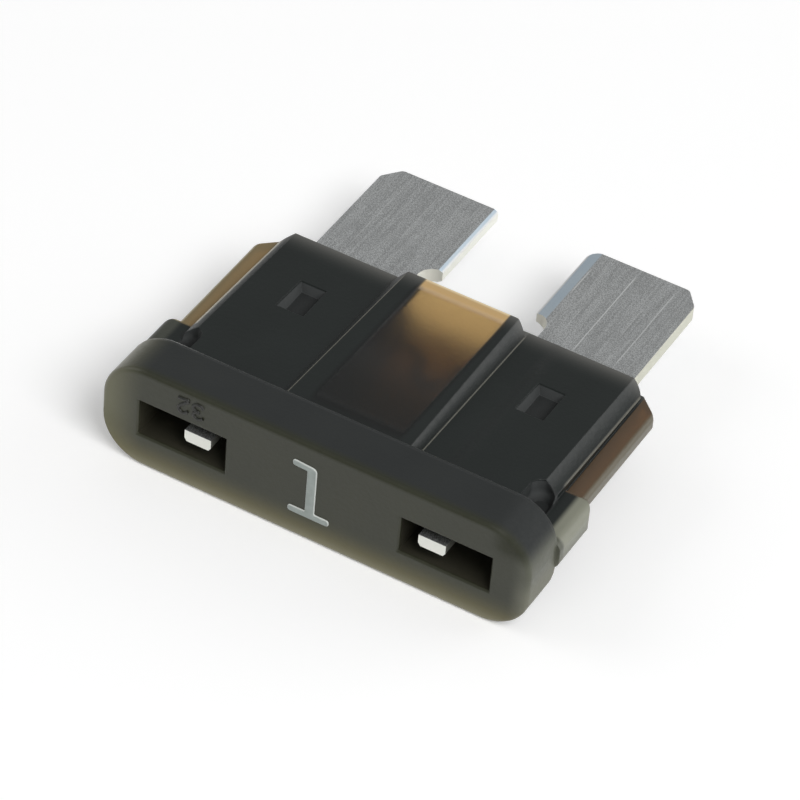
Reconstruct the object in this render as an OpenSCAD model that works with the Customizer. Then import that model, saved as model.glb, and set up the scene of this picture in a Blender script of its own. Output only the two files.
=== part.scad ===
// Automotive blade fuse, regular size, lying on its broad side.
// X runs across the head, Y from the head face towards the blade tips, Z up
// through the thickness. The origin lies under the middle of the whole fuse.
// Inside the modules, y = 0 is the head face and z = 0 the mid-plane.

/* [Head] */
// Width of the head
head_width = 18.8; // [17:0.1:21]
// Thickness of the head, the thickest place of the fuse
head_thickness = 4.8; // [4.4:0.1:5.6]
// Depth of the head rim along the blades
head_depth = 2.4; // [2:0.1:2.8]
// Corner radius of the head outline
head_corner = 1.9; // [1:0.1:2.2]
// Rounding of the head's front edge
head_front_edge = 0.2; // [0.1:0.05:0.35]
// Rounding of the head's back edge
head_back_edge = 0.35; // [0.1:0.05:0.5]

/* [Grip lugs] */
// Overall width over the two lugs, the widest place of the fuse
lug_span = 19.1; // [18.6:0.1:19.6]
// Distance from the head face to the back of the lugs
lug_reach = 4.85; // [4.4:0.05:5.4]
// Thickness of a lug
lug_thickness = 1.3; // [1.1:0.1:1.6]
// Height of a lug's middle above the mid-plane
lug_rise = 0.2; // [0:0.05:0.4]
// Half width at which a lug's top begins, beside the groove
lug_inner = 8.35; // [8.15:0.05:8.55]
// Rounding of a lug's outer side, seen from the blades
lug_side_round = 0.4; // [0.2:0.05:0.5]
// Rounding of a lug's back corner, seen from above
lug_corner = 0.55; // [0.3:0.05:0.8]
// Half width at which the round groove beside a lug begins
groove_inner = 7.3; // [7.1:0.05:7.6]
// Distance from the head face to the groove's round end
groove_reach = 4.2; // [3.8:0.05:4.6]
// Thickness left between the bottoms of the two facing grooves
groove_web = 1.2; // [1:0.05:1.6]

/* [Body] */
// Distance from the head face to the open end of the body
body_reach = 11.5; // [10.5:0.1:12.5]
// Body width at the head
body_width_near = 16.5; // [16:0.1:17]
// Body width at the open end
body_width_far = 16.4; // [15.6:0.1:16.8]
// Thickness over the flat flanks at the head
flank_near = 3.36; // [3:0.02:3.6]
// Thickness over the flat flanks at the open end
flank_far = 2.66; // [2.4:0.02:3]
// Width of the sloping side bevel
side_bevel = 0.55; // [0.3:0.05:0.8]
// Height of that bevel, on each face
bevel_height = 0.5; // [0.3:0.05:0.6]
// Rounding of the body's corners at the open end
body_corner = 0.65; // [0.3:0.05:0.9]

/* [Raised centre] */
// Thickness over the raised centre at the head
centre_near = 4.04; // [3.7:0.02:4.4]
// Thickness over the raised centre at the open end
centre_far = 3.66; // [3.3:0.02:4]
// Width of the raised face at the head
centre_width_near = 5.45; // [5:0.05:6]
// Width of the raised face at the open end
centre_width_far = 5; // [4.4:0.05:5.4]
// How steeply the raised centre's sides slope out: width gained for each unit of depth
centre_slope = 1; // [0.4:0.1:1.2]
// Rounding of the raised centre's corners at the open end
centre_corner = 0.8; // [0.4:0.05:1]

/* [Side fins] */
// Overall width over the two fins
fin_span = 18.15; // [17.6:0.05:18.6]
// Thickness of a fin
fin_thickness = 0.8; // [0.6:0.05:0.9]
// Height of a fin's middle above the mid-plane
fin_rise = 0.3; // [0:0.05:0.35]
// Rounding along a fin's outer edge
fin_round = 0.25; // [0.1:0.05:0.35]
// Distance from the head face to the start of a fin's taper
fin_taper_start = 10.6; // [9.5:0.1:11]

/* [Test windows] */
// Width of a test window
window_width = 3.9; // [3.4:0.1:4.4]
// Height of a test window
window_height = 1.7; // [1.4:0.05:2]
// Distance between the two windows' centres
window_pitch = 11.6; // [11:0.1:12]
// Depth of a test window
window_depth = 1.9; // [1.5:0.1:2.1]
// Small bevel around a window's mouth
window_bevel = 0.07; // [0.02:0.01:0.15]

/* [Staking] */
// Distance between the centres of the two staked places
stake_pitch = 10.7; // [10:0.1:11]
// Distance from the head face to the staked places
stake_reach = 8.12; // [7.5:0.02:8.6]
// Width of a staking recess at the flank's face
stake_width = 1.4; // [1.1:0.05:1.7]
// Length of a staking recess at the flank's face
stake_length = 2.1; // [1.7:0.05:2.5]
// Width of the recess floor, and of the plastic through the strip
peg_width = 0.85; // [0.5:0.05:1]
// Length of the recess floor, and of the plastic through the strip
peg_length = 1.5; // [1:0.05:1.6]
// Thickness left between the floors of the two facing recesses
stake_web = 2; // [1.6:0.05:2.2]

/* [Cavity] */
// Width of the hollow under the raised centre
hollow_width = 4.4; // [3.8:0.1:5]
// Thickness of the hollow under the raised centre
hollow_thickness = 2.4; // [2:0.05:2.8]
// Distance from the head face to the top of the cavity
cavity_start = 2.9; // [2.6:0.1:3.4]
// Free space around the strip inside the housing
strip_clearance = 0.04; // [0.02:0.01:0.1]

/* [Strip] */
// Distance from the head face to the blade tips: the overall length
overall_length = 18.5; // [17.5:0.1:19.5]
// Overall width over the two blades
blade_span = 14.5; // [14:0.1:15]
// Width of the gap between the two blades
blade_gap = 4.3; // [4.1:0.05:4.6]
// Thickness of the strip at the blades
blade_thickness = 0.65; // [0.55:0.01:0.8]
// Width of the corner cut at each blade's outer tip corner
tip_cut_width = 0.62; // [0.3:0.02:1]
// Length of the corner cut at each blade's outer tip corner
tip_cut_length = 0.8; // [0.4:0.05:1.2]
// Rounding of the two corners that this cut leaves
tip_blend = 0.25; // [0.05:0.05:0.5]
// Rounding of one blade's inner tip corner, the other is left sharp
tip_round = 0.45; // [0.2:0.05:0.7]
// Width of the thinned band along the inner edge of the rounded blade
skive_width = 0.5; // [0.3:0.05:0.7]
// Width of that band on the other blade
narrow_skive = 0.18; // [0.1:0.02:0.3]
// Depth of that band on each face
skive_depth = 0.12; // [0.05:0.01:0.2]
// Step from the blade's inner edge to its narrower root
root_step = 0.75; // [0.5:0.05:1]
// Distance from the head face to the end of the narrower root
root_reach = 13.9; // [13:0.1:14.5]
// Distance from the head face to the shoulder inside the housing
shoulder_reach = 4.4; // [3.8:0.1:5]

/* [Test tips and link] */
// Width of a test tip
tip_width = 1.18; // [0.9:0.02:1.4]
// Thickness of a test tip
tip_thickness = 0.54; // [0.4:0.02:0.6]
// Distance between the two tips' centres
tip_pitch = 10.32; // [9.6:0.02:10.6]
// How far a tip stays below the head face
tip_setback = 0.17; // [0.05:0.01:0.6]
// Corner that the shearing rolls off along a tip's lower edges
tip_roll = 0.1; // [0.02:0.01:0.15]
// Width of the fuse link
link_width = 0.45; // [0.2:0.05:0.8]
// Thickness of the fuse link
link_thickness = 0.25; // [0.15:0.05:0.4]
// Radius of the link's bends
link_bend = 0.7; // [0.5:0.05:0.9]
// Distance from the head face to the middle of the link
link_reach = 8.1; // [6.5:0.1:9]

/* [Hidden] */
$fn = 48;
edge_facets = 16;                            // facets of the smallest roundings
groove_facets = 24;                          // facets of the round bottom and end of a groove
lap = 0.3;                                   // overlap of joined volumes
eps = 0.02;                                  // thin slice of a loft
root_inner = blade_gap / 2 + root_step;      // half width of the root's inner edge
slot_thickness = blade_thickness + 2 * strip_clearance;
slot_outer = blade_span / 2 + strip_clearance;
body_top = head_depth - lap;                 // where the body starts inside the head
centre_depth = 0.6;                          // from the raised face down to inside the flanks
tip_turn = atan(tip_cut_width / tip_cut_length);    // how far a blade's side turns at its corner cut

housing();
fuse_element();

// Moves a piece from the head face and mid-plane to the fuse's own origin
module in_place() {
    translate([0, -overall_length / 2, head_thickness / 2]) children();
}

// Extrudes a shape drawn in X and Z along +Y, from y0 to y1
module along_y(y0, y1) {
    translate([0, y1, 0]) rotate([90, 0, 0]) linear_extrude(y1 - y0) children();
}

// Extrudes a shape drawn in X and Y over a thickness centred on the mid-plane
module through(thickness) {
    translate([0, 0, -thickness / 2]) linear_extrude(thickness) children();
}

module both_sides() {
    children();
    mirror([1, 0, 0]) children();
}

module both_faces() {
    children();
    mirror([0, 0, 1]) children();
}

module centred_rect(w, h) {
    translate([-w / 2, -h / 2]) square([w, h]);
}

module round_rect(w, h, r) {
    centred_rect(w - 2 * r, h);
    centred_rect(w, h - 2 * r);
    for (x = [-1, 1], y = [-1, 1])
        translate([x * (w / 2 - r), y * (h / 2 - r)]) circle(r);
}

// Points of an arc from one angle to another, for the small roundings
function arc(x, y, r, from, to) =
    [for (i = [0:edge_facets / 4])
        let (a = from + (to - from) * i * 4 / edge_facets) [x + r * cos(a), y + r * sin(a)]];

// Half section of the head: x outward, y from the head face backwards
module head_profile(half) {
    polygon(concat([[0, 0]],
                   arc(half - head_front_edge, head_front_edge, head_front_edge, -90, 0),
                   arc(half - head_back_edge, head_depth - head_back_edge, head_back_edge, 0, 90),
                   [[0, head_depth]]));
}

// Rounded plate in X and Z, depth along Y, with its front and back edges rounded
module head_plate() {
    cx = head_width / 2 - head_corner;
    cz = head_thickness / 2 - head_corner;
    for (x = [-1, 1], z = [-1, 1])
        translate([x * cx, 0, z * cz]) rotate([-90, 0, 0]) rotate_extrude() head_profile(head_corner);
    both_sides() translate([0, 0, -cz]) linear_extrude(2 * cz) head_profile(head_width / 2);
    both_faces() translate([-cx, 0, 0]) rotate([90, 0, 90]) linear_extrude(2 * cx)
        mirror([1, -1, 0]) head_profile(head_thickness / 2);
}

// Half section of the flanks: flat face, sloping bevel, upright side
module flank_section(width, thickness) {
    w = width / 2;
    t = thickness / 2;
    s = t - bevel_height;
    polygon([[-w, -s], [-w + side_bevel, -t], [w - side_bevel, -t], [w, -s],
             [w, s], [w - side_bevel, t], [-w + side_bevel, t], [-w, s]]);
}

module centre_section(width, thickness) {
    w = width / 2;
    t = thickness / 2;
    foot = w + centre_slope * centre_depth;
    side = t - centre_depth;
    polygon([[-foot, -side], [-w, -t], [w, -t], [foot, -side], [foot, side], [w, t], [-w, t], [-foot, side]]);
}

// Plan of a block that ends at the body's open end with rounded corners
module open_end_plan(width, corner) {
    translate([0, body_reach / 2]) centred_rect(width - 2 * corner, body_reach);
    translate([-width / 2, 0]) square([width, body_reach - corner]);
    for (x = [-1, 1]) translate([x * (width / 2 - corner), body_reach - corner]) circle(corner);
}

module flanks() {
    intersection() {
        hull() {
            along_y(body_top, body_top + eps) flank_section(body_width_near, flank_near);
            along_y(body_reach - eps, body_reach) flank_section(body_width_far, flank_far);
        }
        through(head_thickness) open_end_plan(body_width_far + 0.1, body_corner);
    }
}

// Round-bottomed groove beside a lug, from the head to its round end
module groove() {
    r = (lug_inner - groove_inner) / 2;
    translate([lug_inner - r, groove_reach - r, groove_web / 2 + r]) {
        rotate_extrude($fn = groove_facets) intersection() {
            circle(r);
            translate([0, -r]) square([r, 2 * r]);
        }
        linear_extrude(head_thickness) circle(r, $fn = groove_facets);
        rotate([90, 0, 0]) linear_extrude(groove_reach - r - body_top) {
            circle(r, $fn = groove_facets);
            translate([-r, 0]) square([2 * r, head_thickness]);
        }
    }
}

module raised_centre() {
    intersection() {
        hull() {
            along_y(body_top, body_top + eps) centre_section(centre_width_near, centre_near);
            along_y(body_reach - eps, body_reach) centre_section(centre_width_far, centre_far);
        }
        through(head_thickness)
            open_end_plan(centre_width_near + centre_slope * (centre_near - flank_near) + 0.1, centre_corner);
    }
}

module fins() {
    intersection() {
        translate([0, 0, fin_rise]) along_y(body_top, body_reach)
            round_rect(fin_span, fin_thickness, fin_round, $fn = edge_facets);
        through(head_thickness) polygon([
            [-fin_span / 2, body_top], [fin_span / 2, body_top],
            [fin_span / 2, fin_taper_start], [body_width_far / 2, body_reach - 0.1],
            [-body_width_far / 2, body_reach - 0.1], [-fin_span / 2, fin_taper_start]]);
    }
}

module lugs() {
    outer = lug_span / 2;
    both_sides() intersection() {
        translate([0, 0, lug_rise]) along_y(body_top, lug_reach)
            round_rect(lug_span, lug_thickness, lug_side_round);
        through(head_thickness) {
            translate([lug_inner - lap, body_top])
                square([outer - lug_inner + lap - lug_corner, lug_reach - body_top]);
            translate([lug_inner - lap, body_top])
                square([outer - lug_inner + lap, lug_reach - lug_corner - body_top]);
            translate([outer - lug_corner, lug_reach - lug_corner]) circle(lug_corner);
        }
    }
}

// Recess pressed into a flank, narrowing down to its floor
module stake_recess() {
    depth = head_thickness / 2 - stake_web / 2;
    rise = depth / (flank_near / 2 - stake_web / 2);
    translate([stake_pitch / 2, stake_reach, stake_web / 2])
        linear_extrude(depth, slices = 1, scale = [1 + (stake_width / peg_width - 1) * rise,
                                                   1 + (stake_length / peg_length - 1) * rise])
            centred_rect(peg_width, peg_length);
}

module stake_peg() {
    translate([stake_pitch / 2, stake_reach, 0])
        through(slot_thickness + 2 * lap) centred_rect(peg_width, peg_length);
}

module cavity() {
    // hollow under the raised centre, open at the blade end
    along_y(cavity_start, body_reach + lap) round_rect(hollow_width, hollow_thickness, 0.4);
    // slot for the strip, open at the blade end
    along_y(shoulder_reach - strip_clearance, body_reach + lap)
        centred_rect(2 * slot_outer, slot_thickness);
    both_sides() {
        // narrow slot for a test tip
        along_y(window_depth - lap, shoulder_reach)
            translate([tip_pitch / 2, 0])
                centred_rect(tip_width + 2 * strip_clearance, tip_thickness + 2 * strip_clearance);
        // test window with its bevelled mouth
        along_y(-lap, window_depth)
            translate([window_pitch / 2, 0]) centred_rect(window_width, window_height);
        translate([window_pitch / 2, window_bevel, 0]) rotate([90, 0, 0])
            linear_extrude(2 * window_bevel, slices = 1, scale = [1 + 4 * window_bevel / window_width,
                                                                  1 + 4 * window_bevel / window_height])
                centred_rect(window_width, window_height);
    }
}

module housing() {
    color([0.2, 0.2, 0.19]) in_place() {
        difference() {
            union() {
                head_plate();
                difference() {
                    union() {
                        flanks();
                        lugs();
                    }
                    both_sides() both_faces() groove();
                }
                raised_centre();
                fins();
            }
            cavity();
            both_sides() both_faces() stake_recess();
        }
        both_sides() stake_peg();
    }
}

module blade_plan(round_corner) {
    outer = blade_span / 2;
    inner = blade_gap / 2;
    difference() {
        polygon(concat([[root_inner, shoulder_reach], [outer, shoulder_reach]],
                       arc(outer - tip_blend, overall_length - tip_cut_length - tip_blend * tan(tip_turn / 2),
                           tip_blend, 0, tip_turn),
                       arc(outer - tip_cut_width - tip_blend * tan(45 - tip_turn / 2),
                           overall_length - tip_blend, tip_blend, tip_turn, 90),
                       [[inner, overall_length], [inner, root_reach - root_step],
                        [root_inner, root_reach - root_step]]));
        translate([inner, root_reach - root_step]) circle(root_step);
        if (round_corner)
            difference() {
                translate([inner - lap, overall_length - tip_round]) square(tip_round + lap);
                translate([inner + tip_round, overall_length - tip_round]) circle(tip_round);
            }
    }
}

// Wedge that thins the blade's inner edge
module skive(width) {
    along_y(root_reach - 2 * root_step, overall_length + lap)
        polygon([[blade_gap / 2 - lap, blade_thickness / 2 - skive_depth * (1 + lap / width)],
                 [blade_gap / 2 + width, blade_thickness / 2],
                 [blade_gap / 2 - lap, blade_thickness]]);
}

module blade(round_corner, band) {
    difference() {
        through(blade_thickness) {
            difference() {
                blade_plan(round_corner);
                translate([stake_pitch / 2, stake_reach])
                    centred_rect(peg_width + 2 * strip_clearance, peg_length + 2 * strip_clearance);
            }
        }
        both_faces() skive(band);
    }
    along_y(tip_setback, shoulder_reach + lap) translate([tip_pitch / 2, 0]) tip_section();
}

module tip_section() {
    w = tip_width / 2;
    t = tip_thickness / 2;
    polygon([[-w + tip_roll, -t], [w - tip_roll, -t], [w, -t + 1.5 * tip_roll], [w, t], [-w, t], [-w, -t + 1.5 * tip_roll]]);
}

// Ring sector of the link's width, kept on one side of its middle
module link_bend_plan() {
    difference() {
        circle(link_bend + link_width / 2);
        circle(link_bend - link_width / 2);
        translate([-2 * link_bend, -3 * link_bend]) square([4 * link_bend, 3 * link_bend]);
    }
}

// S-shaped link between the two roots
module link_plan() {
    run = root_inner - 2 * link_bend;
    translate([-link_bend, 0]) link_bend_plan();
    translate([link_bend, 0]) rotate(180) link_bend_plan();
    for (side = [0, 180]) rotate(side) {
        translate([-2 * link_bend - link_width / 2, -link_bend]) square([link_width, link_bend]);
        translate([-2 * link_bend - run - lap, -link_bend - link_width / 2])
            square([run + lap + link_width / 2, link_width]);
    }
}

module fuse_element() {
    color([0.6, 0.61, 0.62]) in_place() {
        blade(true, skive_width);
        mirror([1, 0, 0]) blade(false, narrow_skive);
        translate([0, link_reach, 0]) through(link_thickness) link_plan();
    }
}
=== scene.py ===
"""Automotive blade fuse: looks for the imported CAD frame, in metres."""
import functools
import math

import bpy
from mathutils import Matrix, Vector


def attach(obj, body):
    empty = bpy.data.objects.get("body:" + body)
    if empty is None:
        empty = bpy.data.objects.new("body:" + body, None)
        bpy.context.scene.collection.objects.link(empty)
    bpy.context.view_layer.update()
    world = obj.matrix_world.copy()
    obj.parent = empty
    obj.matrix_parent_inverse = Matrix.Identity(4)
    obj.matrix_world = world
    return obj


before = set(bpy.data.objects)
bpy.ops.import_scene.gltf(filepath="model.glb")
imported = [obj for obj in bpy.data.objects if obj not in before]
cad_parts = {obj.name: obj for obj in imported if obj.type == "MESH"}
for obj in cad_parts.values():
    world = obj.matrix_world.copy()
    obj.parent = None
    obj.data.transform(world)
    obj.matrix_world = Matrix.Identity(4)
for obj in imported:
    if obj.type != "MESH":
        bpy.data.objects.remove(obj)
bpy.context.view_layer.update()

MM = 0.001

# Places on the fuse, in millimetres.
HEAD_FACE_Y = -9.25         # the head face, where the numerals are
HEAD_BACK_Y = -6.85         # back of the head
GROOVE_END_Y = -5.05        # round end of the grooves beside the lugs
LUG_BACK_Y = -4.40          # back of the lugs, from where the fins can be seen
OPEN_END_Y = 2.25           # open end of the body
MID_Z = 2.40                # mid-plane of the fuse
HOLLOW = 2.20               # half width of the hollow middle
BODY_SIDE = 8.25            # half width of the body, where the fins begin
BLADE_INNER = 2.15          # half of the gap between the blades
SKIVES = 0.18, 0.50         # width of the thinned band along that gap, left and right


# Camera: the photograph's view, found by fitting the fuse's known sizes.

AZIMUTH, ELEVATION, ROLL = (math.radians(angle) for angle in (26.318, 41.867, 5.376))
TARGET = Vector((0.102, -2.680, MID_Z)) * MM
DISTANCE = 173.929 * MM
FOCAL_PIXELS, IMAGE_PIXELS, SENSOR = 4485.0, 800.0, 36.0
CLIP = 0.005, 10.0


def add_camera():
    back = Vector((math.sin(AZIMUTH) * math.cos(ELEVATION),
                   -math.cos(AZIMUTH) * math.cos(ELEVATION), math.sin(ELEVATION)))
    level = Vector((math.cos(AZIMUTH), math.sin(AZIMUTH), 0.0))
    up = back.cross(level).normalized()
    right = level * math.cos(ROLL) + up * math.sin(ROLL)
    up = back.cross(right).normalized()
    data = bpy.data.cameras.new("camera")
    data.sensor_width = SENSOR
    data.lens = FOCAL_PIXELS / IMAGE_PIXELS * SENSOR
    data.clip_start, data.clip_end = CLIP
    camera = bpy.data.objects.new("camera", data)
    camera.matrix_world = (Matrix.Translation(TARGET + back * DISTANCE)
                           @ Matrix((right, up, back)).transposed().to_4x4())
    bpy.context.collection.objects.link(camera)
    bpy.context.scene.camera = camera


# Materials.

FINE_BUMP = 0.02 * MM       # depth of the grain in every surface
SKIN_GRAIN = 5200.0         # scale of the moulded skin's grain


class Nodes:
    """Short names for building a material's nodes. Places are in millimetres."""

    def __init__(self, name):
        self.material = bpy.data.materials.new(name)
        self.material.use_nodes = True
        self.tree = self.material.node_tree
        self.tree.nodes.clear()
        self.output = self.node("ShaderNodeOutputMaterial")
        self.coords = self.node("ShaderNodeTexCoord").outputs["Object"]

    def node(self, kind, **settings):
        made = self.tree.nodes.new(kind)
        for key, value in settings.items():
            setattr(made, key, value)
        return made

    def put(self, value, socket):
        """Links a socket, or sets a number or a colour of three parts."""
        if isinstance(value, bpy.types.NodeSocket):
            self.tree.links.new(value, socket)
        elif isinstance(value, tuple):
            socket.default_value = (*value, 1.0)
        else:
            socket.default_value = value

    def math(self, operation, *values):
        made = self.node("ShaderNodeMath", operation=operation)
        for value, socket in zip(values, made.inputs):
            self.put(value, socket)
        return made.outputs[0]

    def plus(self, a, b):
        return self.math("ADD", a, b)

    def minus(self, a, b):
        return self.math("SUBTRACT", a, b)

    def times(self, *values):
        return functools.reduce(functools.partial(self.math, "MULTIPLY"), values)

    def largest(self, *values):
        return functools.reduce(functools.partial(self.math, "MAXIMUM"), values)

    def size(self, value):
        return self.math("ABSOLUTE", value)

    def power(self, value, exponent):
        return self.math("POWER", value, exponent)

    def line(self, value, slope, start):
        """The value times a slope, plus a start."""
        return self.math("MULTIPLY_ADD", value, slope, start)

    def less(self, value, share=1.0):
        """1 where the value is 0, and less by a share of it elsewhere."""
        return self.line(value, -share, 1.0)

    def axes(self, vector):
        made = self.node("ShaderNodeSeparateXYZ")
        self.put(vector, made.inputs[0])
        return made.outputs

    def place(self):
        """X, Y and Z on the object."""
        scaled = self.node("ShaderNodeVectorMath", operation="SCALE")
        self.put(self.coords, scaled.inputs["Vector"])
        self.put(1.0 / MM, scaled.inputs["Scale"])
        return self.axes(scaled.outputs["Vector"])

    def facing(self, axis):
        """1 where the surface faces straight along an axis, either way, 0 where it runs along it."""
        normal = self.node("ShaderNodeNewGeometry").outputs["Normal"]
        return self.size(self.axes(normal)[axis])

    def smooth(self, value, low, high, easing="SMOOTHSTEP"):
        """0 at low, 1 at high, eased between."""
        made = self.node("ShaderNodeMapRange", interpolation_type=easing)
        for item, socket in ((value, "Value"), (low, "From Min"), (high, "From Max")):
            self.put(item, made.inputs[socket])
        return made.outputs["Result"]

    def mix(self, factor, a, b):
        made = self.node("ShaderNodeMix", data_type="RGBA")
        for value, socket in ((factor, 0), (a, 6), (b, 7)):
            self.put(value, made.inputs[socket])
        return made.outputs[2]

    def noise(self, scale, detail, stretch=(1.0, 1.0, 1.0)):
        placed = self.node("ShaderNodeMapping")
        self.put(self.coords, placed.inputs["Vector"])
        placed.inputs["Scale"].default_value = stretch
        made = self.node("ShaderNodeTexNoise")
        self.put(placed.outputs["Vector"], made.inputs["Vector"])
        self.put(scale, made.inputs["Scale"])
        self.put(detail, made.inputs["Detail"])
        return made.outputs["Fac"]

    def soft_edges(self, radius):
        """Normals that round every edge off by a radius, in metres."""
        made = self.node("ShaderNodeBevel", samples=4)
        self.put(radius, made.inputs["Radius"])
        return made.outputs["Normal"]

    def bump(self, height, strength, distance=FINE_BUMP, normal=None):
        made = self.node("ShaderNodeBump")
        if normal:
            self.put(normal, made.inputs["Normal"])
        self.put(height, made.inputs["Height"])
        self.put(strength, made.inputs["Strength"])
        self.put(distance, made.inputs["Distance"])
        return made.outputs["Normal"]

    def principled(self, **values):
        made = self.node("ShaderNodeBsdfPrincipled")
        for key, value in values.items():
            self.put(value, made.inputs[key.replace("_", " ")])
        self.tree.links.new(made.outputs[0], self.output.inputs["Surface"])


# Smoke plastic of the housing. A pair of colours is the two ends of a change.

BODY = (0.005, 0.008, 0.007), (0.010, 0.014, 0.013)             # cloudy between the two
HEAD_TOP = (0.014, 0.0165, 0.017), (0.022, 0.0250, 0.024)       # cloudy
HEAD_FRONT = (0.019, 0.0210, 0.010), (0.028, 0.0300, 0.014)     # cloudy
OPEN_END = (0.115, 0.114, 0.105)
# Painted light: the cuts' floors and walls and the insides of the windows are painted lighter than the
# body, standing for light that falls into them.
CUT = (0.016, 0.018, 0.018), (0.052, 0.056, 0.056)              # floors, walls
WINDOW_LIGHT = (0.034, 0.032, 0.022)
# Painted glow, standing for light from the table and the lamps: the head's ends, its lower edge, the
# lugs and the fins.
RIGHT_END_GLOW = (0.105, 0.110, 0.078), (0.210, 0.210, 0.160)        # upper half, lower half
LEFT_END_GLOW = (0.150, 0.148, 0.088), (0.175, 0.168, 0.100)         # upper half, lower half
LOW_EDGE_GLOW = (0.205, 0.180, 0.072), (0.230, 0.215, 0.135)         # towards the edge
LUG = (0.250, 0.255, 0.200)
RIGHT_FIN_GLOW = (0.215, 0.140, 0.082), (0.150, 0.130, 0.085)        # face, rim
LEFT_FIN_GLOW = (0.430, 0.330, 0.170), (0.480, 0.430, 0.280)         # face, rim
# Painted highlights along the edges, in general and stronger on the left bevel.
EDGE_HIGHLIGHT = (0.240, 0.230, 0.190), (0.480, 0.460, 0.375)        # in general, on the left bevel
# Painted shade: the clear middle is painted darker towards the head, where the floor under the body
# lies in shade.
GLASS_AND_SHADE = (0.19, 0.225, 0.22), (0.99, 0.99, 0.97)                 # towards the open end
# Painted glow at the open end's lip: bright amber, standing for light through the open end.
LIP_GLOW = (0.62, 0.42, 0.19), (0.90, 0.76, 0.50)                    # towards the edge
ABSORBED = (0.70, 0.50, 0.05)
ABSORB_DENSITY = 3000.0


class Plastic(Nodes):
    """The smoke plastic's nodes, and the places on the housing that its looks follow."""

    def __init__(self):
        super().__init__("smoke_polycarbonate")
        self.x, self.y, z = self.place()
        self.side = self.size(self.x)
        self.height = self.minus(z, MID_Z)
        self.rise = self.size(self.height)
        self.grain = self.noise(SKIN_GRAIN, 4.0)
        self.cloud = self.noise(420.0, 3.0)
        self.left = self.smooth(self.x, 1.0, -1.0)
        self.wall = self.smooth(self.facing(2), 0.8, 0.3)
        self.head = self.smooth(self.y, HEAD_BACK_Y + 0.1, HEAD_BACK_Y - 0.1)
        # The body tapers: half thickness at the flanks, half width of the raised centre's
        # flat top, and of its foot on the flanks.
        self.flank = self.line(self.y, -0.0372, 1.414)
        self.top = self.line(self.y, -0.0239, 2.554)
        self.foot = self.line(self.y, -0.0069, 3.015)
        self.fin = self.times(self.smooth(self.side, BODY_SIDE + 0.01, BODY_SIDE + 0.06),
                              self.smooth(self.y, LUG_BACK_Y - 0.10, LUG_BACK_Y + 0.02))
        self.rim = self.smooth(self.side, 8.86, 8.98)
        self.cut = self.cut_places()
        # Painted glow: the head's right end is painted dark above, where the left end is painted
        # glowing too.
        self.shoulder = self.times(self.smooth(self.x, 7.4, 8.4), self.smooth(self.height, 0.95, 1.75),
                                   self.head)
        self.ends = self.times(self.smooth(self.side, self.by_side(7.4, 8.5), self.by_side(9.6, 9.5)),
                               self.by_side(1.0, 0.75), self.less(self.shoulder), self.head)

    def by_side(self, on_left, on_right):
        """One number on the left half, another on the right."""
        return self.line(self.left, on_left - on_right, on_right)

    def cloudy(self, first, second):
        return self.mix(self.cloud, first, second)

    def cut_places(self):
        """The grooves beside the lugs and the staking recesses."""
        groove = self.times(self.smooth(self.side, 7.25, 7.35), self.smooth(self.side, 8.36, 8.28),
                            self.smooth(self.y, GROOVE_END_Y + 0.10, GROOVE_END_Y - 0.05))
        recess = self.times(self.smooth(self.side, 4.55, 4.65), self.smooth(self.side, 6.15, 6.05),
                            self.smooth(self.y, -2.30, -2.18), self.smooth(self.y, 0.04, -0.08))
        below = self.smooth(self.rise, self.minus(self.flank, 0.03), self.minus(self.flank, 0.09))
        return self.times(below, self.largest(groove, recess), self.less(self.head))


def clear_looks(p):
    """Where the plastic is clear, how much, and its colour, with painted shade towards the head and a
    painted glow at the open end's lip: the hollow middle and the fins.
    """
    middle = p.times(p.smooth(p.x, HOLLOW + 0.14, HOLLOW - 0.12),
                     p.smooth(p.x, -HOLLOW + 0.22, -HOLLOW + 0.58),
                     p.smooth(p.y, HEAD_BACK_Y - 0.2, HEAD_BACK_Y + 0.9))
    # Painted glow at the open end's lip, where the plastic is made nearly opaque.
    lip = p.times(p.smooth(p.y, OPEN_END_Y - 0.80, OPEN_END_Y - 0.35), p.smooth(p.rise, 1.2, 1.3))
    clear = p.largest(p.times(middle, p.less(lip, 0.85)), p.times(p.fin, 0.6, p.less(p.rim, 0.5)))
    edge = p.mix(p.smooth(p.y, OPEN_END_Y - 0.16, OPEN_END_Y - 0.02), *LIP_GLOW)
    # Painted shade in the clear middle, darker towards the head.
    shaded_glass = p.mix(p.smooth(p.y, -5.4, 1.5), *GLASS_AND_SHADE)
    return middle, clear, p.mix(p.power(lip, 0.35), shaded_glass, edge)


def dark_looks(p):
    """The dark plastic: paler on the head and along the open end, with painted light in cuts and in
    the windows.
    """
    open_end = p.times(p.power(p.smooth(p.y, 0.9, OPEN_END_Y, "LINEAR"), 3.0), p.less(p.wall, 0.75))
    dark = p.mix(open_end, p.cloudy(*BODY), OPEN_END)
    front = p.smooth(p.y, HEAD_FACE_Y + 0.50, HEAD_FACE_Y + 0.02)
    dark = p.mix(p.head, dark, p.mix(front, p.cloudy(*HEAD_TOP), p.cloudy(*HEAD_FRONT)))
    # Painted light in the grooves and recesses, most on their walls.
    dark = p.mix(p.cut, dark, p.mix(p.wall, *CUT))
    # Painted light inside the windows.
    window = p.times(p.smooth(p.y, HEAD_FACE_Y + 0.05, HEAD_FACE_Y + 0.2),
                     p.smooth(p.rise, 0.95, 0.88), p.smooth(p.side, 7.85, 7.78), p.head)
    return p.mix(window, dark, WINDOW_LIGHT)


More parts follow.
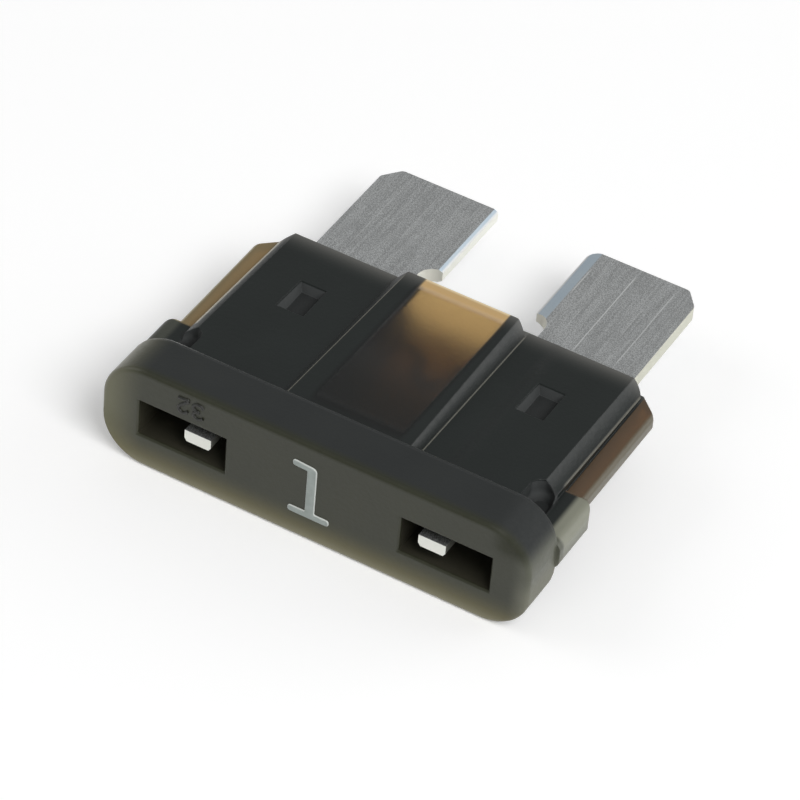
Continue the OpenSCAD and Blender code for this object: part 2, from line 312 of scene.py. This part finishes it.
def add_glow(p, colour):
    """Painted glow, standing for light from the table, in the head's ends and lower edge, in the lugs
    and in the fins.
    """
    # Painted glow in the head's ends.
    right_end = p.mix(p.smooth(p.height, 0.6, -0.6), *RIGHT_END_GLOW)
    left_end = p.mix(p.smooth(p.height, 0.0, -1.5), *LEFT_END_GLOW)
    colour = p.mix(p.ends, colour, p.mix(p.left, right_end, left_end))
    # Painted glow along the head's lower edge.
    low = p.times(p.power(p.smooth(p.height, -0.7, -2.3, "LINEAR"), 2.2),
                  p.smooth(p.y, HEAD_FACE_Y + 0.45, HEAD_FACE_Y))
    colour = p.mix(low, colour, p.mix(p.smooth(p.height, -1.7, -2.3), *LOW_EDGE_GLOW))
    # Painted glow in the lugs, much stronger on the right one.
    lug = p.times(p.smooth(p.side, 8.70, 8.98), p.smooth(p.y, LUG_BACK_Y + 0.10, LUG_BACK_Y - 0.05),
                  p.by_side(0.18, 0.90), p.smooth(p.height, -1.2, 0.7), p.less(p.head))
    colour = p.mix(lug, colour, LUG)
    # Painted glow in the fins: the left fin painted bright amber, the right one darker brown.
    return p.mix(p.fin, colour, p.mix(p.left, p.mix(p.rim, *RIGHT_FIN_GLOW), p.mix(p.rim, *LEFT_FIN_GLOW)))


def add_edge_highlights(p, colour):
    """Painted highlights, fine bright lines where edges catch the light: along the raised centre and
    the bevels.
    """
    ridge = p.plus(p.foot, p.times(p.left, p.minus(p.top, p.foot)))
    from_ridge = p.size(p.minus(p.side, ridge))
    ridge_highlight = p.times(p.smooth(from_ridge, 0.035, 0.010), p.by_side(0.65, 0.45))
    from_bevel = p.size(p.minus(p.rise, p.minus(p.flank, 0.5)))
    bevel_highlight = p.times(p.smooth(from_bevel, p.by_side(0.18, 0.07), p.by_side(0.08, 0.02)),
                         p.smooth(p.side, p.by_side(7.85, 8.00), p.by_side(8.00, 8.10)),
                         p.smooth(p.side, 8.30, 8.27),
                         p.smooth(p.y, LUG_BACK_Y - 0.2, LUG_BACK_Y + 0.1),
                         p.by_side(0.95, 0.50))
    body = p.times(p.less(p.head), p.smooth(p.y, OPEN_END_Y - 0.1, OPEN_END_Y - 0.5))
    pale = p.mix(p.times(p.left, p.smooth(p.side, 7.0, 7.5)), *EDGE_HIGHLIGHT)
    # Painted highlights along the ridges and bevels.
    return p.mix(p.times(p.largest(ridge_highlight, bevel_highlight), body), colour, pale)


def plastic_roughness(p, clear):
    """The clear plastic is smoother than the skin, and cuts and the head's ends are matt."""
    inside = p.times(p.smooth(p.side, HOLLOW + 0.10, HOLLOW + 0.02), p.smooth(p.rise, 1.30, 1.22))
    clean = p.plus(p.times(p.grain, 0.06), p.line(inside, 0.10, 0.27))
    matt = p.largest(p.times(p.cut, 0.35),
                     p.times(p.ends, p.smooth(p.height, 0.5, -1.0), 0.35),
                     p.times(p.shoulder, 0.40))
    satin = p.plus(p.times(p.grain, 0.20), p.plus(matt, 0.30))
    made = p.node("ShaderNodeMix", data_type="FLOAT")
    for value, socket in ((clear, 0), (satin, 2), (clean, 3)):
        p.put(value, made.inputs[socket])
    return made.outputs[0]


def plastic_sag(p):
    """The faces that lean outwards are a little hollow or rounded, so their light changes."""
    slope = p.times(p.smooth(p.x, p.top, p.foot, "LINEAR"), p.smooth(p.x, 5.0, 4.0))
    right_bevel = p.smooth(p.x, 7.67, 8.22, "LINEAR")
    left_bevel = p.smooth(p.x, -8.22, -7.67, "LINEAR")
    bends = [p.times(p.power(face, 2.0), amount)
             for face, amount in ((slope, 1.7), (right_bevel, -1.3), (left_bevel, 1.4))]
    return p.times(functools.reduce(p.plus, bends), p.less(p.head))


def plastic():
    """Smoke polycarbonate: near black over the metal, amber where only a thin wall is."""
    p = Plastic()
    middle, clear, shaded_glass = clear_looks(p)
    dark = add_edge_highlights(p, add_glow(p, dark_looks(p)))
    milky = p.smooth(p.y, -1.5, -3.5)
    leaning = p.bump(plastic_sag(p), 1.0, -0.10 * MM, p.soft_edges(0.06 * MM))
    p.principled(
        Base_Color=p.mix(p.power(middle, 12.0), dark, shaded_glass),
        Roughness=plastic_roughness(p, clear),
        IOR=1.5,
        Transmission_Weight=p.times(clear, p.line(milky, -0.022, 0.99)),
        Normal=p.bump(p.grain, 0.42, normal=leaning))
    depth = p.node("ShaderNodeVolumeAbsorption")
    p.put(ABSORBED, depth.inputs["Color"])
    p.put(ABSORB_DENSITY, depth.inputs["Density"])
    p.tree.links.new(depth.outputs[0], p.output.inputs["Volume"])
    return p.material


# Zinc of the fuse element. A pair of colours is the two ends of a change.

ZINC = (0.36, 0.37, 0.37), (0.78, 0.80, 0.80)           # in the grain
BLOTCH = (0.38, 0.39, 0.39)
SCRATCH = (0.92, 0.93, 0.93)
# The thinned band is real; its bright blue colour is a painted reflection, with a painted highlight
# along the blade's inner edge.
SKIVE = (0.54, 0.68, 0.80), (0.72, 0.80, 0.85)          # the thinned band, blotched
SKIVE_EDGE_HIGHLIGHT = (0.95, 0.96, 0.96)
# Painted shade: the strip inside the housing is painted dark.
HIDDEN_SHADE = (0.10, 0.09, 0.08)
# Cut edges: partly the sheared zinc's own pale finish, partly painted light. The blades' right outer
# side is painted darker; the tips' ends are painted bright as a painted reflection, their sides dark
# as painted shade.
BLADE_CUT_AND_LIGHT = (0.92, 0.92, 0.84), (0.62, 0.62, 0.52)      # in general, on the right outer side
TIP_CUT_LIT_AND_SHADED = (0.90, 0.91, 0.84), (0.16, 0.16, 0.14)        # on the end, on the sides

# Scratches along the blades: where each lies across, from where to where, and how strong.
SCRATCHES = ((4.445, 3.2, 8.9, 0.9), (6.235, 3.4, 8.9, 0.7), (2.73, 6.3, 8.3, 0.8),
             (5.60, 5.0, 7.4, 0.35), (3.55, 4.1, 6.0, 0.3), (-3.25, 4.0, 8.6, 0.25),
             (-4.60, 5.2, 8.9, 0.3), (-6.10, 3.6, 7.9, 0.25))


def scratches(n, x, y):
    """Each scratch wavers a little and fades at both ends."""
    waver = n.times(n.minus(n.noise(500.0, 2.0), 0.5), 0.05)
    across = n.plus(x, waver)
    return n.largest(*(
        n.times(n.smooth(n.size(n.minus(across, where)), 0.036, 0.010), strength,
                n.smooth(y, start, start + 0.5), n.smooth(y, end, end - 0.5))
        for where, start, end, strength in SCRATCHES))


def zinc():
    """Rolled zinc: grain along the strip, scratches, pale cut edges partly painted light, and a
    thinned band painted bright blue as a painted reflection.
    """
    n = Nodes("rolled_zinc")
    x, y, _ = n.place()
    across = n.size(x)
    cut = n.smooth(n.facing(2), 0.75, 0.35)
    fine = n.noise(26000.0, 3.0, (1.0, 0.7, 1.0))
    lines = n.noise(9000.0, 4.0, (1.0, 0.06, 1.0))
    blotch = n.noise(700.0, 3.0)
    scratch = scratches(n, x, y)

    grey = n.plus(n.times(fine, 0.78), n.times(lines, 0.22))
    face = n.mix(n.smooth(grey, 0.36, 0.64), *ZINC)
    face = n.mix(n.times(n.smooth(blotch, 0.35, 0.75), 0.22), face, BLOTCH)
    face = n.mix(scratch, face, SCRATCH)
    # The thinned band, with a painted reflection and a painted highlight along the blade's inner edge.
    band = n.largest(*(
        n.times(n.smooth(across, BLADE_INNER + width + 0.04, BLADE_INNER + width - 0.02),
                n.smooth(x, 0.0, 0.1 * way))
        for width, way in zip(SKIVES, (-1.0, 1.0))))
    blue = n.mix(n.smooth(across, BLADE_INNER + 0.10, BLADE_INNER + 0.03),
                 n.mix(blotch, *SKIVE), SKIVE_EDGE_HIGHLIGHT)
    face = n.mix(n.times(band, 0.88), face, blue)
    # Inside the housing the strip is painted dark as painted shade, but for the two test tips.
    hidden = n.times(n.smooth(y, OPEN_END_Y - 0.05, OPEN_END_Y - 0.25), n.smooth(y, -7.5, -7.2))
    face = n.mix(hidden, face, HIDDEN_SHADE)

    # Painted light on the cut edges, and painted shade on the tips' sides.
    blade_cut = n.mix(n.smooth(x, 6.9, 7.2), *BLADE_CUT_AND_LIGHT)
    tip_cut = n.mix(n.smooth(n.facing(0), 0.5, 0.8), *TIP_CUT_LIT_AND_SHADED)
    n.principled(
        Base_Color=n.mix(cut, face, n.mix(n.smooth(y, -7.0, -7.3), blade_cut, tip_cut)),
        Metallic=n.line(cut, -0.70, 0.85),
        Roughness=n.line(fine, 0.2, 0.36),
        Normal=n.bump(n.plus(grey, n.times(scratch, 0.6)), 0.30))
    return n.material


INK = (0.25, 0.29, 0.27), (0.40, 0.44, 0.42)            # speckled
INK_RIM_HIGHLIGHT = (0.62, 0.65, 0.62)
# The small figures' plastic, painted darker than the head face as painted shade.
RELIEF_SHADE = (0.008, 0.009, 0.007), (0.020, 0.020, 0.015)   # speckled


def ink():
    """Pale grey marking ink, with a painted highlight along its rounded edge."""
    n = Nodes("marking_ink")
    speckle = n.noise(4200.0, 4.0)
    # Painted highlight along the rounded edge.
    rim = n.smooth(n.facing(1), 0.97, 0.75)
    n.principled(
        Base_Color=n.mix(rim, n.mix(speckle, *INK), INK_RIM_HIGHLIGHT),
        Roughness=0.5,
        Normal=n.bump(speckle, 0.3))
    return n.material


def relief():
    """The housing's own plastic on the small raised figures, painted darker than the head face as
    painted shade.
    """
    n = Nodes("smoke_relief")
    speckle = n.noise(SKIN_GRAIN, 4.0)
    n.principled(
        Base_Color=n.mix(speckle, *RELIEF_SHADE),
        Roughness=n.line(speckle, 0.2, 0.35),
        Normal=n.bump(speckle, 0.2))
    return n.material


# Numerals, drawn in millimetres in the plane of the head face.

NUMERAL_RISE, NUMERAL_EDGE = 0.06, 0.045    # height of the 1, and rounding of its edge
NUMERAL_STEPS = 6                           # points on each rounded corner
FIGURE_STROKE = 0.07                        # radius of the small figures' stroke
FIGURE_Z = 1.63                             # their height above the mid-plane

# The 1: its corners, each with its radius.
ONE = ((-0.87, 1.48, 0.12), (0.19, 1.40, 0.22), (0.19, -0.91, 0.05), (0.84, -0.92, 0.12),
       (0.84, -1.21, 0.12), (-0.97, -1.20, 0.12), (-0.97, -0.91, 0.12), (-0.22, -0.91, 0.05),
       (-0.22, 1.16, 0.05), (-0.87, 1.19, 0.12))
THREE = ((-0.22, 0.24), (-0.08, 0.34), (0.10, 0.33), (0.20, 0.20), (0.12, 0.06), (-0.02, 0.02),
         (0.14, -0.04), (0.22, -0.18), (0.12, -0.32), (-0.08, -0.35), (-0.23, -0.24))
TWO = ((-0.21, 0.20), (-0.10, 0.33), (0.10, 0.33), (0.20, 0.18), (0.10, 0.00),
       (-0.10, -0.18), (-0.22, -0.34), (-0.05, -0.345), (0.22, -0.34))


def rounded(corners):
    """Closed outline through corners (x, z, radius), each corner rounded."""
    points = []
    for index, (cx, cz, radius) in enumerate(corners):
        here = Vector((cx, cz))
        before = (Vector(corners[index - 1][:2]) - here).normalized()
        after = (Vector(corners[(index + 1) % len(corners)][:2]) - here).normalized()
        half = before.angle(after) / 2
        run = radius / math.tan(half)
        centre = here + (before + after).normalized() * radius / math.sin(half)
        first, last = here + before * run - centre, here + after * run - centre
        turn = first.angle_signed(last)
        for step in range(NUMERAL_STEPS + 1):
            angle = -turn * step / NUMERAL_STEPS
            points.append(centre + Matrix.Rotation(angle, 2) @ first)
    return points


def outline_curve(name, points):
    """Flat plate with rounded edges inside a closed outline."""
    curve = bpy.data.curves.new(name, "CURVE")
    curve.dimensions = "2D"
    curve.fill_mode = "BOTH"
    curve.extrude = NUMERAL_RISE - NUMERAL_EDGE
    curve.bevel_depth = NUMERAL_EDGE
    curve.bevel_resolution = 3
    curve.offset = -NUMERAL_EDGE
    spline = curve.splines.new("POLY")
    spline.points.add(len(points) - 1)
    for point, (px, pz) in zip(spline.points, points):
        point.co = (px, pz, 0.0, 1.0)
    spline.use_cyclic_u = True
    return curve


def stroke_curve(name, points):
    """Round stroke along a smooth line."""
    curve = bpy.data.curves.new(name, "CURVE")
    curve.dimensions = "3D"
    curve.bevel_depth = FIGURE_STROKE
    curve.bevel_resolution = 3
    curve.use_fill_caps = True
    curve.resolution_u = 8
    spline = curve.splines.new("BEZIER")
    spline.bezier_points.add(len(points) - 1)
    for point, (px, pz) in zip(spline.bezier_points, points):
        point.co = (px, pz, 0.0)
        point.handle_left_type = point.handle_right_type = "AUTO"
    return curve


def on_head_face(name, curve, x, z, material, flip=1.0):
    """Turns a curve drawn in millimetres into a piece standing on the head face."""
    drawn = bpy.data.objects.new(name, curve)
    bpy.context.collection.objects.link(drawn)
    graph = bpy.context.evaluated_depsgraph_get()
    mesh = bpy.data.meshes.new_from_object(drawn.evaluated_get(graph))
    bpy.data.objects.remove(drawn)
    mesh.transform(Matrix.Translation(Vector((x, HEAD_FACE_Y, MID_Z + z)) * MM)
                   @ Matrix.Diagonal((flip * MM, MM, flip * MM, 1.0))
                   @ Matrix.Rotation(math.radians(90.0), 4, "X"))
    mesh.name = name
    mesh.materials.clear()
    mesh.materials.append(material)
    piece = bpy.data.objects.new(name, mesh)
    bpy.context.collection.objects.link(piece)
    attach(piece, "root")


def add_numerals():
    """The rating 1 in pale ink, and the small 32 that is moulded upside down."""
    on_head_face("rating_numeral", outline_curve("rating_numeral", rounded(ONE)), 0.0, 0.0, ink())
    shade = relief()
    for name, points, x in (("figure_three", THREE, -5.10), ("figure_two", TWO, -5.77)):
        on_head_face(name, stroke_curve(name, points), x, FIGURE_Z, shade, flip=-1.0)


# Stage.

FLOOR_SIZE = 1.6
FLOOR_Z = -0.01 * MM
FLOOR_SEEN = 0.20           # light added to the floor where it is seen or mirrored
WORLD_LIGHT = 0.32          # strength of the surroundings as a light; seen, they are white

# Lamps: name, place, size and power. All face the fuse.
LAMPS = (("key", (0.32, -0.18, 0.42), 0.30, 2.0),
         ("side", (0.42, 0.40, 0.17), 0.42, 0.8),
         ("fill", (-0.45, -0.10, 0.28), 0.35, 0.5))


def add_floor():
    """Pale floor on which the fuse rests."""
    n = Nodes("floor")
    path = n.node("ShaderNodeLightPath").outputs
    seen = n.plus(n.largest(path["Is Camera Ray"], path["Is Glossy Ray"]),
                  n.times(path["Is Transmission Ray"], 0.8))
    n.principled(
        Base_Color=(0.90, 0.90, 0.90),
        Roughness=0.9,
        Emission_Color=(1.0, 1.0, 1.0),
        Emission_Strength=n.times(seen, FLOOR_SEEN))
    bpy.ops.mesh.primitive_plane_add(size=FLOOR_SIZE, location=(0.0, 0.0, FLOOR_Z))
    floor = bpy.context.object
    floor.name = "floor"
    floor.data.materials.append(n.material)


def add_light():
    """White surroundings and three soft lamps."""
    world = bpy.data.worlds.new("studio")
    bpy.context.scene.world = world
    world.use_nodes = True
    tree = world.node_tree
    background = tree.nodes["Background"]
    path = tree.nodes.new("ShaderNodeLightPath")
    pick = tree.nodes.new("ShaderNodeMapRange")
    pick.inputs["To Min"].default_value = WORLD_LIGHT
    pick.inputs["To Max"].default_value = 1.0
    tree.links.new(path.outputs["Is Camera Ray"], pick.inputs["Value"])
    tree.links.new(pick.outputs["Result"], background.inputs["Strength"])
    background.inputs["Color"].default_value = (1.0, 1.0, 1.0, 1.0)

    for name, place, size, power in LAMPS:
        data = bpy.data.lights.new(name, "AREA")
        data.size = size
        data.energy = power
        lamp = bpy.data.objects.new(name, data)
        lamp.location = place
        lamp.rotation_euler = (-Vector(place)).to_track_quat("-Z", "Y").to_euler()
        bpy.context.collection.objects.link(lamp)


def main():
    add_camera()
    add_floor()
    add_light()
    for name, material in (("housing", plastic()), ("fuse_element", zinc())):
        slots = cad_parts[name].data.materials
        slots.clear()
        slots.append(material)
    add_numerals()
    bpy.context.scene.view_settings.view_transform = "Standard"


main()
